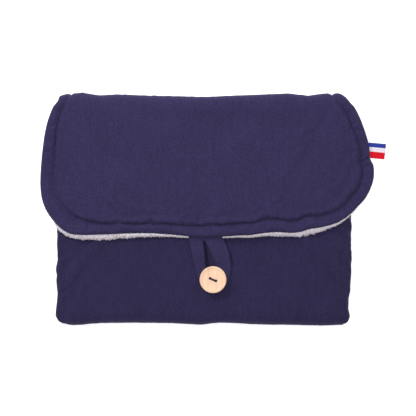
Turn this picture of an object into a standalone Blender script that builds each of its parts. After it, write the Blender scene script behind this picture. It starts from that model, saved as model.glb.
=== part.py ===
"""A fold-over padded fabric case, closed and lying on its back.

The case is a padded length of cloth: double gauze outside, wadding in the middle, terry towelling
inside. Its lower end is folded up and sewn at both sides into a pocket, and its upper end folds over
a soft spine as a wide round-cornered flap. A gauze loop in the flap's edge goes round a wooden button.

Frame: metres, +Z up. X runs across the case, +Y runs from the pocket's fold to the spine, and the
origin is on the underside, which rests on the table. Every soft layer keeps a small gap to the next.
"""

from math import cos, pi, radians, sin

import bmesh
import bpy
from mathutils import Matrix, Vector

# Layers of the padded cloth.
GAUZE = 0.0009
WADDING = 0.0032
TERRY = 0.0022
GAP = 0.0003
PANEL = GAUZE + GAP + WADDING + GAP + TERRY

# The case.
HALF_WIDTH = 0.1375
TOP_Y = 0.1078
BOTTOM_Y = -0.1078
MOUTH_Y = -0.0084
POCKET_SPACE = 0.0080
FLAP_CLEARANCE = 0.0006
SEAM_WIDTH = 0.0030
MOUTH_CORNER = 0.0050
SPINE_LEFT_X = -0.1315
SPINE_RIGHT_X = 0.1285
SHOULDER_Y = 0.0700

# Heights that follow from the layers.
POCKET_UNDERSIDE = PANEL + POCKET_SPACE
POCKET_TOP = POCKET_UNDERSIDE + PANEL
FLAP_UNDERSIDE = POCKET_TOP + FLAP_CLEARANCE
FLAP_TOP = FLAP_UNDERSIDE + PANEL
FOLD_RADIUS = POCKET_TOP / 2
FOLD_Y = BOTTOM_Y + FOLD_RADIUS

# The flap's free edge, from its left end at the spine round to its right end.
FLAP_EDGE = (
    (SPINE_LEFT_X, TOP_Y),
    (-0.1415, 0.0955),
    (-0.1485, 0.0760),
    (-0.1525, 0.0500),
    (-0.1542, 0.0230),
    (-0.1515, 0.0045),
    (-0.1435, -0.0100),
    (-0.1305, -0.0220),
    (-0.1130, -0.0254),
    (-0.0530, -0.0236),
    (0.0000, -0.0272),
    (0.0500, -0.0242),
    (0.0900, -0.0210),
    (0.1180, -0.0152),
    (0.1375, -0.0050),
    (0.1505, 0.0105),
    (0.1582, 0.0300),
    (0.1558, 0.0480),
    (0.1490, 0.0740),
    (0.1400, 0.0950),
    (SPINE_RIGHT_X, TOP_Y),
)
TOPSTITCH_INSET = 0.0110
TOPSTITCH_RADIUS = 0.00035

# The button, on the pocket's outer face.
BUTTON_X = 0.0080
BUTTON_Y = -0.0671
BUTTON_RADIUS = 0.0126
BUTTON_THICKNESS = 0.0044
BUTTON_DISH = 0.0005
BUTTON_ROUNDING = 0.0012
HOLE_RADIUS = 0.0010
HOLE_SPACING = 0.0061
HOLE_ANGLE = radians(-23.0)
THREAD_RADIUS = 0.00055

# The closure loop, which lies on the pocket under the button.
LOOP_THICKNESS = 0.0024
LOOP_Z = POCKET_TOP + 0.00035
LOOP_TOP = LOOP_Z + LOOP_THICKNESS
LOOP_ROOT_Y = -0.0276
LOOP_OUTER = (
    (-0.0150, LOOP_ROOT_Y),
    (-0.0117, -0.0436),
    (-0.0078, -0.0610),
    (-0.0020, -0.0735),
    (0.0080, -0.0785),
    (0.0185, -0.0745),
    (0.0236, -0.0650),
    (0.0248, -0.0530),
    (0.0220, -0.0389),
    (0.0169, LOOP_ROOT_Y),
)
LOOP_SLOT = (
    (-0.0009, -0.0300),
    (0.0003, -0.0436),
    (0.0014, -0.0560),
    (0.0040, -0.0680),
    (0.0080, -0.0708),
    (0.0118, -0.0680),
    (0.0112, -0.0560),
    (0.0061, -0.0417),
)

# The ribbon tab in the flap's right edge.
TAB_LENGTH = 0.0152
TAB_WIDTH = 0.0150
TAB_THICKNESS = 0.0007
TAB_Y = 0.0540
TAB_TILT = radians(-5.0)
TAB_Z = FLAP_UNDERSIDE + TERRY + GAP / 2

BUTTON_UNDERSIDE = LOOP_TOP + 0.00035
SAME_PLACE = 1e-6


def clear_scene():
    for obj in list(bpy.data.objects):
        bpy.data.objects.remove(obj, do_unlink=True)


def collection(name):
    made = bpy.data.collections.new(name)
    bpy.context.scene.collection.children.link(made)
    return made


def material(name, colour, roughness):
    made = bpy.data.materials.new(name)
    made.use_nodes = True
    shader = made.node_tree.nodes["Principled BSDF"]
    shader.inputs["Base Color"].default_value = (*colour, 1.0)
    shader.inputs["Roughness"].default_value = roughness
    shader.inputs["Metallic"].default_value = 0.0
    return made


clear_scene()
CASE = collection("fold_over_case")
CUTTERS = collection("cutters")
NAVY_GAUZE = material("navy_gauze", (0.038, 0.033, 0.090), 0.92)
GREY_TERRY = material("grey_terry", (0.68, 0.64, 0.69), 0.95)
WHITE_WADDING = material("white_wadding", (0.85, 0.85, 0.83), 0.95)
NAVY_THREAD = material("navy_thread", (0.020, 0.018, 0.060), 0.70)
LIGHT_WOOD = material("light_wood", (0.88, 0.63, 0.40), 0.55)
STRIPED_RIBBON = material("striped_ribbon", (0.80, 0.78, 0.82), 0.60)


def smooth_chain(points, steps):
    """Points along a Catmull-Rom curve through an open chain of points."""
    chain = [Vector(p) for p in points]
    ends = [2 * chain[0] - chain[1], *chain, 2 * chain[-1] - chain[-2]]
    found = []
    for a, b, c, d in zip(ends, ends[1:], ends[2:], ends[3:]):
        for step in range(steps):
            t = step / steps
            swing = (c - a) * t + (2 * a - 5 * b + 4 * c - d) * t**2
            found.append(b + 0.5 * (swing + (3 * b - 3 * c + d - a) * t**3))
    return [*found, chain[-1]]


def smooth_ring(points, steps):
    """Points along a Catmull-Rom curve through a closed ring of points."""
    ring = [Vector(p) for p in points]
    wrapped = [ring[-1], *ring, ring[0], ring[1]]
    chain = smooth_chain(wrapped, steps)
    return chain[steps : steps * (len(ring) + 1)]


def inset(chain, distance):
    """An open chain of points moved to its left, which is inwards on a chain run anticlockwise."""
    found = []
    for i, point in enumerate(chain):
        along = chain[min(i + 1, len(chain) - 1)] - chain[max(i - 1, 0)]
        found.append(point + distance * Vector((-along.y, along.x)).normalized())
    return found


def arc(centre, radius, start, end, steps):
    """Points of an arc, with its angles in radians."""
    angles = [start + (end - start) * i / steps for i in range(steps + 1)]
    return [Vector((centre[0] + radius * cos(a), centre[1] + radius * sin(a))) for a in angles]


def move_to(obj, holder):
    """Links an object to one collection and to no other."""
    for other in list(obj.users_collection):
        other.objects.unlink(obj)
    holder.objects.link(obj)


def finish(obj, surface, parent=None):
    """Gives a piece its material, its collection and the empty on whose joint it moves."""
    obj.data.materials.clear()
    obj.data.materials.append(surface)
    move_to(obj, CASE)
    if parent:
        obj.parent = parent
        obj.matrix_parent_inverse = parent.matrix_world.inverted()
    return obj


def outline_curve(name, rings, thickness, fill="BOTH"):
    """A flat 2D curve of one or more closed rings, extruded to its thickness about its own plane."""
    data = bpy.data.curves.new(name, "CURVE")
    data.dimensions = "2D"
    data.fill_mode = fill
    data.extrude = thickness / 2
    for ring in rings:
        spline = data.splines.new("POLY")
        spline.points.add(len(ring) - 1)
        for point, place in zip(spline.points, ring):
            point.co = (*place, 0.0, 1.0)
        spline.use_cyclic_u = True
    return bpy.data.objects.new(name, data)


def plate(name, rings, low, high, surface, parent=None):
    """A flat layer of the given outline, between two heights."""
    obj = outline_curve(name, rings, high - low)
    obj.location.z = (low + high) / 2
    return finish(obj, surface, parent)


def tray(name, ring, face_z, skirt_z, open_ends, parent=None):
    """Outer gauze: a flat face whose edge turns over to the lining, but not at the open ends."""
    helper = outline_curve(name + "_face", [ring], 0.0, "FRONT")
    CASE.objects.link(helper)
    evaluated = helper.evaluated_get(bpy.context.evaluated_depsgraph_get())
    mesh = bpy.data.meshes.new_from_object(evaluated)
    bpy.data.objects.remove(helper, do_unlink=True)
    shell = bmesh.new()
    shell.from_mesh(mesh)
    bmesh.ops.remove_doubles(shell, verts=shell.verts, dist=SAME_PLACE)

    def goes_on(edge):
        return any(all(abs(v.co.y - y) < SAME_PLACE for v in edge.verts) for y in open_ends)

    rim = [e for e in shell.edges if e.is_boundary and not goes_on(e)]
    made = bmesh.ops.extrude_edge_only(shell, edges=rim)["geom"]
    for vert in made:
        if isinstance(vert, bmesh.types.BMVert):
            vert.co.z = skirt_z - face_z
    bmesh.ops.recalc_face_normals(shell, faces=shell.faces)
    flat = max(shell.faces, key=lambda f: abs(f.normal.z) * f.calc_area())
    if flat.normal.z * (face_z - skirt_z) < 0:
        bmesh.ops.reverse_faces(shell, faces=shell.faces)
    shell.to_mesh(mesh)
    shell.free()
    obj = bpy.data.objects.new(name, mesh)
    obj.location.z = face_z
    thicken = obj.modifiers.new("cloth", "SOLIDIFY")
    thicken.thickness = GAUZE
    thicken.offset = -1.0
    thicken.use_even_offset = True
    return finish(obj, NAVY_GAUZE, parent)


def box(name, low, high, surface, parent=None):
    """A block between two corners, from the cube primitive."""
    bpy.ops.mesh.primitive_cube_add(size=1.0)
    obj = bpy.context.object
    obj.name = name
    size = Vector(high) - Vector(low)
    obj.data.transform(Matrix.Diagonal((*size, 1.0)))
    obj.location = (Vector(low) + Vector(high)) / 2
    return finish(obj, surface, parent)


def joint_empty(name, place, parent=None):
    """An empty on a joint's axis, which carries what moves on that joint."""
    obj = bpy.data.objects.new(name, None)
    obj.empty_display_size = 0.01
    CASE.objects.link(obj)
    obj.location = place
    bpy.context.view_layer.update()
    if parent:
        obj.parent = parent
        obj.matrix_parent_inverse = parent.matrix_world.inverted()
    return obj


def back_panel():
    """The panel that the case lies on, wider at the pocket than at the spine."""
    lower = [(-HALF_WIDTH, FOLD_Y + GAP), (HALF_WIDTH, FOLD_Y + GAP)]
    right = [(HALF_WIDTH, SHOULDER_Y), (SPINE_RIGHT_X, TOP_Y)]
    left = [(SPINE_LEFT_X, TOP_Y), (-HALF_WIDTH, SHOULDER_Y)]
    tray("back_outer_gauze", lower + right + left, 0.0, GAUZE + GAP + WADDING, (FOLD_Y + GAP, TOP_Y))
    for name, surface, low, thick, in_y, in_x in (
        ("back_wadding", WHITE_WADDING, GAUZE + GAP, WADDING, GAUZE + GAP, GAUZE + GAP),
        ("back_terry_lining", GREY_TERRY, PANEL - TERRY, TERRY, PANEL - TERRY, 0.0),
    ):
        wide = HALF_WIDTH - in_x
        ring = [
            (-wide, FOLD_Y + GAP),
            (wide, FOLD_Y + GAP),
            (wide, SHOULDER_Y),
            (SPINE_RIGHT_X - in_x, TOP_Y - in_y),
            (SPINE_LEFT_X + in_x, TOP_Y - in_y),
            (-wide, SHOULDER_Y),
        ]
        plate(name, [ring], low, low + thick, surface)


def pocket_ring(wide, mouth_y):
    """The pocket panel's outline, with round corners at the mouth."""
    corner_y = mouth_y - MOUTH_CORNER
    right = arc((wide - MOUTH_CORNER, corner_y), MOUTH_CORNER, 0.0, pi / 2, 4)
    left = arc((MOUTH_CORNER - wide, corner_y), MOUTH_CORNER, pi / 2, pi, 4)
    return [Vector((-wide, FOLD_Y + GAP)), Vector((wide, FOLD_Y + GAP)), *right, *left]


def pocket_panel():
    """The panel folded up over the back one, from the bottom fold to the pocket's mouth."""
    skirt = POCKET_UNDERSIDE + TERRY + GAP
    tray("pocket_outer_gauze", pocket_ring(HALF_WIDTH, MOUTH_Y), POCKET_TOP, skirt, (FOLD_Y + GAP,))
    edge = GAUZE + GAP
    ring = pocket_ring(HALF_WIDTH - edge, MOUTH_Y - edge)
    plate("pocket_wadding", [ring], skirt, skirt + WADDING, WHITE_WADDING)
    ring = pocket_ring(HALF_WIDTH, MOUTH_Y)
    plate("pocket_terry_lining", [ring], POCKET_UNDERSIDE, POCKET_UNDERSIDE + TERRY, GREY_TERRY)


def bottom_fold():
    """The three layers where the cloth turns from the back panel up into the pocket panel."""
    outer = FOLD_RADIUS
    for name, surface, thick, steps, shorter in (
        ("bottom_fold_gauze", NAVY_GAUZE, GAUZE, 14, 0.0),
        ("bottom_fold_wadding", WHITE_WADDING, WADDING, 12, GAUZE + GAP),
        ("bottom_fold_terry", GREY_TERRY, TERRY, 10, GAUZE + GAP),
    ):
        outside = arc((FOLD_Y, FOLD_RADIUS), outer, pi / 2, 3 * pi / 2, steps)
        inside = arc((FOLD_Y, FOLD_RADIUS), outer - thick, 3 * pi / 2, pi / 2, steps)
        fold = outline_curve(name, [outside + inside], 2 * (HALF_WIDTH - shorter))
        fold.rotation_euler = (pi / 2, 0.0, pi / 2)
        finish(fold, surface)
        outer -= thick + GAP


def side_seams():
    """The sewn sides of the pocket, which join the pocket's lining to the back's."""
    for name, side in (("side_seam_left", -1), ("side_seam_right", 1)):
        ends = sorted((side * HALF_WIDTH, side * (HALF_WIDTH - SEAM_WIDTH)))
        low = (ends[0], FOLD_Y + GAP, PANEL + GAP)
        high = (ends[1], MOUTH_Y - MOUTH_CORNER, POCKET_UNDERSIDE - GAP)
        box(name, low, high, NAVY_GAUZE)


def spine(hinge):
    """The cloth between the back panel and the flap, as high as the closed case."""
    depth = 0.0
    edge = 2 * GAUZE
    for name, surface, thick in (
        ("spine_outer_gauze", NAVY_GAUZE, GAUZE),
        ("spine_wadding", WHITE_WADDING, WADDING),
        ("spine_terry_lining", GREY_TERRY, TERRY),
    ):
        rise = depth + thick + GAP
        low = (SPINE_LEFT_X + edge, TOP_Y - depth - thick, rise)
        high = (SPINE_RIGHT_X - edge, TOP_Y - depth, FLAP_TOP - rise)
        box(name, low, high, surface, hinge)
        depth += thick + GAP


def flap(hinge):
    """The wide round-cornered flap, with its line of topstitching."""
    edge = smooth_chain(FLAP_EDGE, 3)
    skirt = FLAP_UNDERSIDE + TERRY + GAP
    tray("flap_outer_gauze", edge, FLAP_TOP, skirt, (TOP_Y,), hinge)
    core = inset(edge, GAUZE + GAP + GAP)
    for end in (0, -1):
        core[end] = Vector((core[end].x, TOP_Y - GAUZE - GAP))
    plate("flap_wadding", [core], skirt, skirt + WADDING, WHITE_WADDING, hinge)
    lining = [Vector((p.x, min(p.y, TOP_Y - PANEL + TERRY))) for p in edge]
    plate("flap_terry_lining", [lining], FLAP_UNDERSIDE, FLAP_UNDERSIDE + TERRY, GREY_TERRY, hinge)
    stitched = inset(edge, TOPSTITCH_INSET)
    height = FLAP_TOP + GAP + TOPSTITCH_RADIUS
    line = [(p.x, p.y, height) for p in stitched if p.y < TOP_Y - TOPSTITCH_RADIUS]
    thread_line("flap_topstitch", line, TOPSTITCH_RADIUS, hinge)


def thread_line(name, line, radius, parent):
    """A thread along a line of points."""
    data = bpy.data.curves.new(name, "CURVE")
    data.dimensions = "3D"
    data.bevel_depth = radius
    data.bevel_resolution = 2
    data.use_fill_caps = True
    spline = data.splines.new("POLY")
    spline.points.add(len(line) - 1)
    for point, place in zip(spline.points, line):
        point.co = (*place, 1.0)
    return finish(bpy.data.objects.new(name, data), NAVY_THREAD, parent)


def closure_loop(hinge):
    """The flat gauze loop: two legs from the flap's edge that meet below the button's shank."""
    outer = smooth_chain(LOOP_OUTER, 3)
    slot = smooth_ring(LOOP_SLOT, 3)
    plate("closure_loop", [outer, slot], LOOP_Z, LOOP_TOP, NAVY_GAUZE, hinge)


def hole_places():
    """The centres of the button's two holes, from the button's own centre."""
    half = HOLE_SPACING / 2
    return [(side * half * cos(HOLE_ANGLE), side * half * sin(HOLE_ANGLE)) for side in (-1, 1)]


def button(pivot):
    """A turned wooden button with a shallow dish and two holes."""
    top = BUTTON_THICKNESS
    rim = BUTTON_RADIUS - BUTTON_ROUNDING
    profile = [Vector((0.0, top - BUTTON_DISH)), Vector((0.6 * BUTTON_RADIUS, top - BUTTON_DISH))]
    profile += arc((rim, top - BUTTON_ROUNDING), BUTTON_ROUNDING, pi / 2, 0.0, 4)
    profile += arc((rim, BUTTON_ROUNDING), BUTTON_ROUNDING, 0.0, -pi / 2, 4)
    profile += [Vector((0.0, 0.0))]
    mesh = bpy.data.meshes.new("button")
    lines = [(i, i + 1) for i in range(len(profile) - 1)]
    mesh.from_pydata([(p.x, 0.0, p.y) for p in profile], lines, [])
    obj = bpy.data.objects.new("button", mesh)
    obj.location = (BUTTON_X, BUTTON_Y, BUTTON_UNDERSIDE)
    turn = obj.modifiers.new("turn", "SCREW")
    turn.steps = 48
    turn.render_steps = 48
    turn.use_merge_vertices = True
    turn.merge_threshold = 0.0001
    for number, (x, y) in enumerate(hole_places()):
        bpy.ops.mesh.primitive_cylinder_add(vertices=16, radius=HOLE_RADIUS, depth=4 * top)
        cutter = bpy.context.object
        cutter.name = f"button_hole_cutter_{number}"
        cutter.location = (BUTTON_X + x, BUTTON_Y + y, BUTTON_UNDERSIDE + top / 2)
        cutter.hide_render = True
        cutter.display_type = "WIRE"
        move_to(cutter, CUTTERS)
        drill = obj.modifiers.new("hole", "BOOLEAN")
        drill.operation = "DIFFERENCE"
        drill.object = cutter
    return finish(obj, LIGHT_WOOD, pivot)


def button_thread(pivot):
    """Sewing thread from the pocket's face up through one hole, over, and down the other."""
    over = BUTTON_UNDERSIDE + BUTTON_THICKNESS - BUTTON_DISH + GAP + THREAD_RADIUS
    foot = POCKET_TOP + GAP
    places = [Vector((BUTTON_X + x, BUTTON_Y + y)) for x, y in hole_places()]
    bend = THREAD_RADIUS
    inwards = (places[1] - places[0]).normalized() * bend
    line = [
        (*places[0], foot),
        (*places[0], over - bend),
        (*(places[0] + inwards), over),
        (*(places[1] - inwards), over),
        (*places[1], over - bend),
        (*places[1], foot),
    ]
    thread_line("button_thread", line, THREAD_RADIUS, pivot)


def tab_root():
    """(the middle of the tab's sewn end, the direction of the flap's edge there, as 2D vectors)."""
    edge = smooth_chain(FLAP_EDGE, 3)
    right = [p for p in edge if p.x > 0.14]
    here = min(range(1, len(right) - 1), key=lambda i: abs(right[i].y - TAB_Y))
    along = (right[here + 1] - right[here - 1]).normalized()
    start = right[here] + along * ((TAB_Y - right[here].y) / along.y)
    outwards = Vector((along.y, -along.x))
    return start + outwards * 2 * GAP, along


def ribbon_tab(hinge):
    """A folded ribbon that sticks out of the flap's edge seam."""
    root, along = tab_root()
    out = Vector((cos(TAB_TILT), sin(TAB_TILT)))
    half = TAB_WIDTH / 2
    ring = [root - half * along, root - half * along + TAB_LENGTH * out * 0.94]
    ring += [root + half * along + TAB_LENGTH * out * 1.05, root + half * along]
    plate("ribbon_tab", [ring], TAB_Z - TAB_THICKNESS / 2, TAB_Z + TAB_THICKNESS / 2, STRIPED_RIBBON, hinge)


def main():
    back_panel()
    pocket_panel()
    bottom_fold()
    side_seams()
    spine_hinge = joint_empty("spine_hinge", (0.0, TOP_Y, 0.0))
    flap_hinge = joint_empty("flap_hinge", (0.0, TOP_Y, FLAP_TOP), spine_hinge)
    loop_hinge = joint_empty("loop_hinge", (0.0, LOOP_ROOT_Y, LOOP_TOP), flap_hinge)
    button_pivot = joint_empty("button_pivot", (BUTTON_X, BUTTON_Y, BUTTON_UNDERSIDE))
    tab_hinge = joint_empty("tab_hinge", (*tab_root()[0], TAB_Z), flap_hinge)
    spine(spine_hinge)
    flap(flap_hinge)
    closure_loop(loop_hinge)
    button(button_pivot)
    button_thread(button_pivot)
    ribbon_tab(tab_hinge)


main()
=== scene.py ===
"""Looks for the fold-over brush case.

The padded cloth is made the way it is sewn: one flat length of gauze and terry with wadding between,
puffed up by a cloth simulation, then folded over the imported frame. Lengths are in metres.
On the flat cloth, x runs across it and s runs along it, from 0 at the middle of the spine: up and over
the flap to its free edge where s is positive, and down, along the back and up the pocket where negative.
"""

from math import acos, ceil, cos, pi, radians, sin

import bmesh
import bpy
import numpy as np
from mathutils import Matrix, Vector, geometry, kdtree, noise
from mathutils.bvhtree import BVHTree


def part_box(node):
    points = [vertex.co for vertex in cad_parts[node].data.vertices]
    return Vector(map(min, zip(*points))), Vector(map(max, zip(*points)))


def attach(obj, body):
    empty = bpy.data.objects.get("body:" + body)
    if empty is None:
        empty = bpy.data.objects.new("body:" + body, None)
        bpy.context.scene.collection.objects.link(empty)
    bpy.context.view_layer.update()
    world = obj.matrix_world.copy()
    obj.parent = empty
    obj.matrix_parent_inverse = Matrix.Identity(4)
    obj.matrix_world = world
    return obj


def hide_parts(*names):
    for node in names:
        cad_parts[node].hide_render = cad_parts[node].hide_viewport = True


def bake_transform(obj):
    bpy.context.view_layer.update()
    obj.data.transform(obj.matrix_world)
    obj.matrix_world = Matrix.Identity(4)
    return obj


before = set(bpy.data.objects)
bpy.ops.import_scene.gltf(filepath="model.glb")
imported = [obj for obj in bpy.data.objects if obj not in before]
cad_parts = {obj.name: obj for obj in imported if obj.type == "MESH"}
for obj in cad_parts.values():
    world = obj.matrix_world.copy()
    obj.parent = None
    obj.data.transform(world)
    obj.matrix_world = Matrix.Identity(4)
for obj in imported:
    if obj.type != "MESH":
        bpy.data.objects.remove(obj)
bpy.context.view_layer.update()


def low(node):
    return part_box(node)[0]


def high(node):
    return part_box(node)[1]


MM = 0.001
NUDGE = 1e-6
RIM = 0.1 * MM

# The closed case, from the frame.
TOP_Y = high("spine_outer_gauze").y
CLOSED_HEIGHT = high("flap_outer_gauze").z
PANEL = CLOSED_HEIGHT - low("flap_terry_lining").z
HALF_PANEL = PANEL / 2
POCKET_TOP = high("pocket_outer_gauze").z
POCKET_GAP = POCKET_TOP - 2 * PANEL
MOUTH_Y = high("pocket_outer_gauze").y
HALF_WIDTH = high("back_outer_gauze").x
FOLD_Y = high("bottom_fold_gauze").y
FOLD_RADIUS = POCKET_TOP / 2
LOOP_LOW = low("closure_loop").z
LOOP_HIGH = high("closure_loop").z
LOOP_ROOT_Y = high("closure_loop").y
BUTTON_LOW, BUTTON_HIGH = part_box("button")
BUTTON_X = (BUTTON_LOW.x + BUTTON_HIGH.x) / 2
BUTTON_Y = (BUTTON_LOW.y + BUTTON_HIGH.y) / 2

# How the cloth folds and puffs.
SPINE_BEND = 10 * MM
SHOULDER_Y = 70 * MM
WAVY_BELOW_Y = 20 * MM
FOLD_CORNER = 8 * MM
FOLD_CORNER_SHARE = 0.7
MOUTH_CORNER = 6 * MM
SPINE_FLARE = (-3.6 * MM, 2.6 * MM)
EDGE_ROLL = 4.4 * MM
TURN_UNDER = 2.2 * MM
STITCH_INSET = 11 * MM
GROOVE_DEPTH = 2.4 * MM
GROOVE_BAND_SIDE = 2.4 * MM
GROOVE_MAIN_SIDE = 1.9 * MM
BAND_CROWN = 0.5 * MM
CENTRE_CROWN = 1.5 * MM
SPACING = 2.6 * MM
RIM_SPACING = 1.9 * MM
ROLL_ROWS = (0.9 * MM, TURN_UNDER, 3.8 * MM)
STITCH_ROWS = (6 * MM, 8 * MM, 9.4 * MM, 10.3 * MM, STITCH_INSET, 11.7 * MM, 12.6 * MM, 14.2 * MM)

# Pairs read off the photo, in mm. How far the top fold lies below the CAD's, by x.
TOP_WAVES = (
    (-136.5, 0), (-134, 1.4), (-130.5, 1.7), (-128, 0.8), (-124.7, 0.9), (-115, -0.8), (-98, 1.9),
    (-83, 0.8), (-51, 2.1), (1.4, 3.3), (24, 2.1), (57.7, 0.8), (78.3, -0.2), (97, 2.0), (111.5, 0),
    (118.5, 1.3), (123.5, 0.4), (129.4, 1.2), (132.2, 1.8), (135.5, 0.3),
)
# How far the bottom fold sags below the CAD's, by x.
BOTTOM_WAVES = (
    (-135, 1.6), (-131, 0.7), (-127.5, 1.9), (-124, 2.7), (-119, 2.9), (-112, 2.2), (-107, 1.6),
    (-97, 0.6), (-70, 0.2), (-32, 0.6), (-13, 1.6), (-4, 2.2), (5, 1.1), (15, 0.1), (34, 0.9),
    (43, 1.5), (62, 2.1), (90, 2.4), (109, 3.3), (118, 3.1), (127, 1.9), (133, 2.8),
)
# How far the sewn sides swell, by y.
LEFT_WAVES = (
    (-101, 2.9), (-86, 1.2), (-80, 0.8), (-75, 1.3), (-70, 2.0), (-64, 1.6), (-57, 2.5), (-50, 1),
    (-10, 1.3),
)
RIGHT_WAVES = (
    (-101, -0.5), (-94, -2.1), (-86, -1.9), (-77, -0.4), (-68, 0.3), (-44, 0.9), (-34, 0.3), (-17, 0.9),
)
# How far the flap's free edge hangs lower than its even curve, by x.
EDGE_WAVES = (
    (-130, 0), (-60, 0), (30, 0.2), (45, 0.7), (56, -0.3), (68, -0.4), (82, 1.6), (90, 1.5), (99, 0),
    (125, 1.2),
)
# How far the flap's right edge swells past its even curve, by y. It is drawn in where the ribbon is sewn.
SIDE_WAVES = (
    (15, 1.5), (25, 1.3), (33, 0.8), (40.7, 1.1), (43.3, 0.0), (46.7, -0.8), (54.4, 0.5), (61, 1.1),
    (66, 1.0), (79, 0.7), (91, 0.6), (99, 0.4),
)
# How far the stitching lies from the edge, by y at each side and by x along the free edge.
LEFT_INSETS = (
    (-5, 16), (5, 15.2), (11, 14), (22, 13), (40, 12.2), (58, 11.6), (75, 10.4), (89, 9), (99, 7.8),
    (106, 9.6), (113, 10.4),
)
RIGHT_INSETS = (
    (5, 11), (20, 12), (36, 11.2), (48, 9), (65, 9.8), (84, 9.8), (97, 9.2), (106, 11.5), (113, 12.8),
)
FREE_INSETS = (
    (-140, 16), (-125, 16.5), (-115, 14.5), (-107, 12.3), (-95, 10.2), (-60, 8.7), (-25, 9.8),
    (0, 10.6), (45, 11.7), (58, 13), (72, 12), (84, 11.3), (94, 12.8), (106, 11.5),
)


# ---------------------------------------------------------------- flat shapes


def outline_rings(node, height):
    """The closed outlines of a CAD node's flat face at a height, as arrays of 2D points."""
    shape = bmesh.new()
    shape.from_mesh(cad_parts[node].data)
    bmesh.ops.remove_doubles(shape, verts=shape.verts, dist=NUDGE)
    flat = {f for f in shape.faces if all(abs(v.co.z - height) < 10 * NUDGE for v in f.verts)}
    rim = {e for e in shape.edges if sum(f in flat for f in e.link_faces) == 1}
    rings = []
    while rim:
        edge = rim.pop()
        ring = [edge.verts[0], edge.verts[1]]
        while True:
            onward = [e for e in ring[-1].link_edges if e in rim]
            if not onward:
                break
            rim.remove(onward[0])
            ring.append(onward[0].other_vert(ring[-1]))
        rings.append(np.array([v.co.xy for v in ring[:-1]]))
    shape.free()
    return [ordered(ring) for ring in rings]


def ordered(ring):
    """A closed ring run anticlockwise from its lowest point, whichever way it was found."""
    x, y = ring.T
    area = (x * np.roll(y, -1) - np.roll(x, -1) * y).sum()
    ring = ring if area > 0 else ring[::-1]
    return np.roll(ring, -np.lexsort(ring.T)[0], axis=0)


def resample(line, step, closed=False):
    """Evenly spaced points along a line of points, ends included unless it is closed."""
    line = np.asarray(line, float)
    if closed:
        line = np.vstack([line, line[:1]])
    run = np.concatenate([[0.0], np.cumsum(np.linalg.norm(np.diff(line, axis=0), axis=1))])
    count = max(2, ceil(run[-1] / step))
    at = np.linspace(0.0, run[-1], count + 1)
    found = np.stack([np.interp(at, run, column) for column in line.T], axis=1)
    return found[:-1] if closed else found


def soften(line, rounds):
    """A closed ring of points with its corners eased."""
    for _ in range(rounds):
        line = (np.roll(line, 1, axis=0) + 2 * line + np.roll(line, -1, axis=0)) / 4
    return line


def edge_distance(points, ring):
    """The distance from each point to the nearest side of a closed ring."""
    starts = ring
    sides = np.roll(ring, -1, axis=0) - ring
    squared = (sides**2).sum(1) + NUDGE**2
    found = np.empty(len(points))
    for first in range(0, len(points), 2000):
        part = points[first : first + 2000, None, :] - starts[None]
        along = ((part * sides).sum(2) / squared).clip(0, 1)
        found[first : first + 2000] = np.linalg.norm(part - along[..., None] * sides, axis=2).min(1)
    return found


def is_inside(points, ring):
    """Which points lie inside a closed ring."""
    x, y = points.T[:, :, None]
    ax, ay = ring.T[:, None, :]
    bx, by = np.roll(ring, -1, axis=0).T[:, None, :]
    with np.errstate(divide="ignore", invalid="ignore"):
        crosses = (ay > y) != (by > y)
        hits = crosses & (x < (bx - ax) * (y - ay) / (by - ay) + ax)
    return hits.sum(1) % 2 == 1


def inset_points(ring, offset):
    """Points inside a closed ring that runs anticlockwise, at one distance or one for each of its points."""
    along = np.roll(ring, -1, axis=0) - np.roll(ring, 1, axis=0)
    inwards = np.stack([-along[:, 1], along[:, 0]], axis=1)
    offset = np.broadcast_to(offset, len(ring))
    moved = ring + offset[:, None] * inwards / np.linalg.norm(inwards, axis=1)[:, None]
    return moved[edge_distance(moved, ring) > 0.94 * offset]


def nearest_in(points):
    """A function that finds the nearest of the points: its place, its number and its distance."""
    tree = kdtree.KDTree(len(points))
    for number, point in enumerate(points):
        tree.insert((*point, 0.0), number)
    tree.balance()
    return lambda place: tree.find((*place, 0.0))


def far_from(points, others, apart):
    """The points with none of the others nearer than the given distance."""
    nearest = nearest_in(others)
    return points[[nearest(p)[2] > apart for p in points]]


def triangulated(rings, cut, rows, spacing):
    """Points and triangles that fill the first ring, less any later ring.

    The triangles use the points of the rings, of the cut line between two points of the first ring, and
    of the rows. The rest is an even triangular grid.
    """
    outer = rings[0]
    lowest = outer.min(0)
    highest = outer.max(0)
    grid = []
    for i, y in enumerate(np.arange(lowest[1], highest[1], spacing * 3**0.5 / 2)):
        across = np.arange(lowest[0] + (i % 2) * spacing / 2, highest[0], spacing)
        grid.append(np.stack([across, np.full(len(across), y)], axis=1))
    grid = np.vstack(grid)
    grid = grid[is_inside(grid, outer)]
    inner_cut = cut[1:-1] if len(cut) else np.empty((0, 2))
    given = np.vstack([*rings, inner_cut, rows])
    grid = far_from(grid, given, 0.62 * spacing)
    edges = []
    first = 0
    for ring in rings:
        own = list(range(first, first + len(ring)))
        edges += list(zip(own, own[1:] + own[:1]))
        first += len(ring)
    if len(cut):
        ends = [int(np.linalg.norm(outer - end, axis=1).argmin()) for end in (cut[0], cut[-1])]
        own = [ends[0], *range(first, first + len(inner_cut)), ends[1]]
        edges += list(zip(own, own[1:]))
    points = [Vector(p) for p in np.vstack([given, grid])]
    result = geometry.delaunay_2d_cdt(points, edges, [], 1, NUDGE / 10, False)
    points = np.array([p[:] for p in result[0]])
    faces = np.array(result[2])
    faces = faces[is_inside(points[faces].mean(1), outer)]
    for hole in rings[1:]:
        faces = faces[~is_inside(points[faces].mean(1), hole)]
    used = np.unique(faces)
    renumber = np.zeros(len(points), int)
    renumber[used] = np.arange(len(used))
    return points[used], renumber[faces]


# ---------------------------------------------------------------- the folded path


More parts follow.
